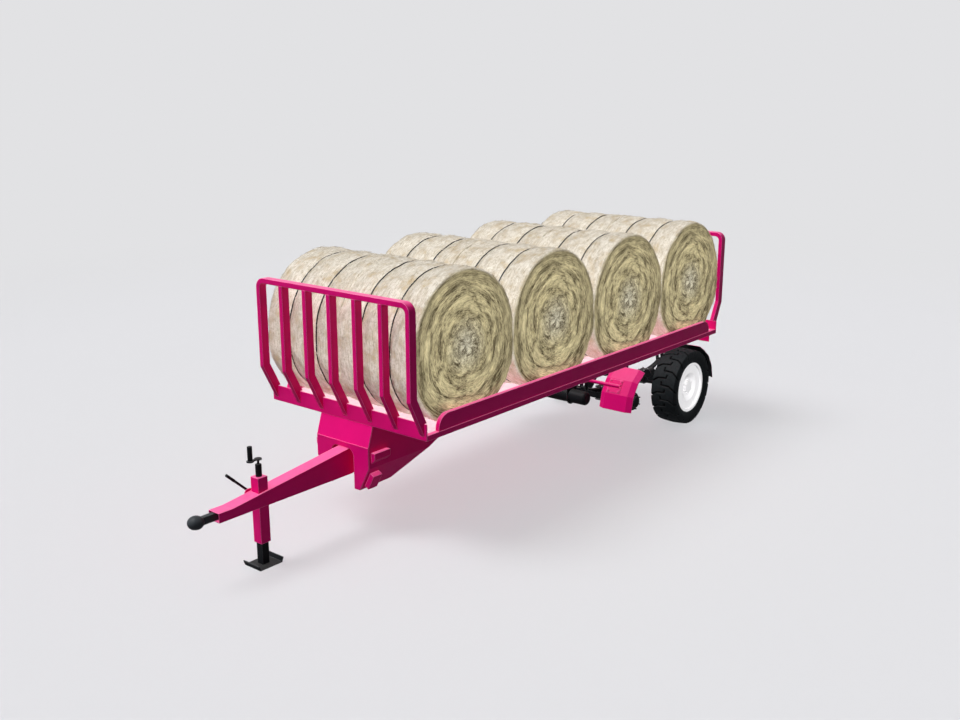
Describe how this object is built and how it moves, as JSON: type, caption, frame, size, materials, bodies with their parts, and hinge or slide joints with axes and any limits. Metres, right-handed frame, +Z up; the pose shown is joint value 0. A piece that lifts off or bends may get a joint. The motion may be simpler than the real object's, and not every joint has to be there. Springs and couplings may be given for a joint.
{
  "type": "bale trailer",
  "caption": "Tandem drawbar bale trailer with sloping end gates, parked on its jack with round bales on the deck; its front axle has bare hubs.",
  "frame": {"origin": "on the ground under the middle of the overall box", "axes": "+X forward along the drawbar, +Y to the trailer's left, +Z up"},
  "size_m": [8.974, 2.5, 3.0965],
  "materials": {
    "pink_paint": "satin",
    "black_paint": "satin",
    "white_paint": "satin",
    "tyre_rubber": "matte",
    "red_lens": "gloss",
    "straw": "matte"
  },
  "bodies": {
    "chassis": {"air_tank": "black_paint", "air_tank_brackets": "black_paint", "axle_front": "black_paint", "axle_rear": "black_paint", "bale_1_left": "straw", "bale_1_right": "straw", "bale_2_left": "straw", "bale_2_right": "straw", "bale_3_left": "straw", "bale_3_right": "straw", "bale_4_left": "straw", "bale_4_right": "straw", "brake_chambers": "black_paint", "brake_lever": "black_paint", "brake_lever_bracket": "pink_paint", "coupling_head": "black_paint", "cross_members": "pink_paint", "deck_plate": "pink_paint", "drawbar": "pink_paint", "drawbar_pivot_tube": "black_paint", "end_beams": "pink_paint", "equalisers": "black_paint", "front_gate_bars": "pink_paint", "front_gate_hoop": "pink_paint", "front_toe_board": "pink_paint", "headstock_front_plate": "pink_paint", "headstock_pads": "pink_paint", "headstock_side_plates": "pink_paint", "headstock_top_plate": "pink_paint", "jack_crank": "black_paint", "jack_screw_sleeve": "black_paint", "jack_tube": "pink_paint", "lamp_plates": "pink_paint", "leaf_springs": "black_paint", "longerons": "pink_paint", "mudguard_arms": "pink_paint", "mudguards_front": "pink_paint", "mudguards_rear": "pink_paint", "rear_gate_bars": "pink_paint", "rear_gate_hoop": "pink_paint", "rear_toe_board": "pink_paint", "side_boards": "pink_paint", "side_rails": "pink_paint", "spring_clamps": "black_paint", "spring_hangers": "black_paint", "tail_lamps": "red_lens"},
    "wheel_left": {"rim_left": "white_paint", "tyre_left": "tyre_rubber", "hub_rear_left": "black_paint"},
    "wheel_right": {"rim_right": "white_paint", "tyre_right": "tyre_rubber", "hub_rear_right": "black_paint"},
    "front_hub_left": {"hub_front_left": "black_paint"},
    "front_hub_right": {"hub_front_right": "black_paint"},
    "jack_inner": {"jack_leg": "black_paint", "jack_foot": "black_paint"}
  },
  "joints": [
    {"name": "wheel_left_spin", "type": "hinge", "parent": "chassis", "child": "wheel_left", "pos_m": [-3.702, 1, 0.57], "axis": [0, 1, 0], "continuous": true},
    {"name": "wheel_right_spin", "type": "hinge", "parent": "chassis", "child": "wheel_right", "pos_m": [-3.702, -1, 0.57], "axis": [0, 1, 0], "continuous": true},
    {"name": "front_hub_left_spin", "type": "hinge", "parent": "chassis", "child": "front_hub_left", "pos_m": [-2.512, 0.9, 0.57], "axis": [0, 1, 0], "continuous": true},
    {"name": "front_hub_right_spin", "type": "hinge", "parent": "chassis", "child": "front_hub_right", "pos_m": [-2.512, -0.9, 0.57], "axis": [0, 1, 0], "continuous": true},
    {"name": "jack_slide", "type": "slide", "parent": "chassis", "child": "jack_inner", "axis": [0, 0, 1], "range_m": [0, 0.23]}
  ]
}
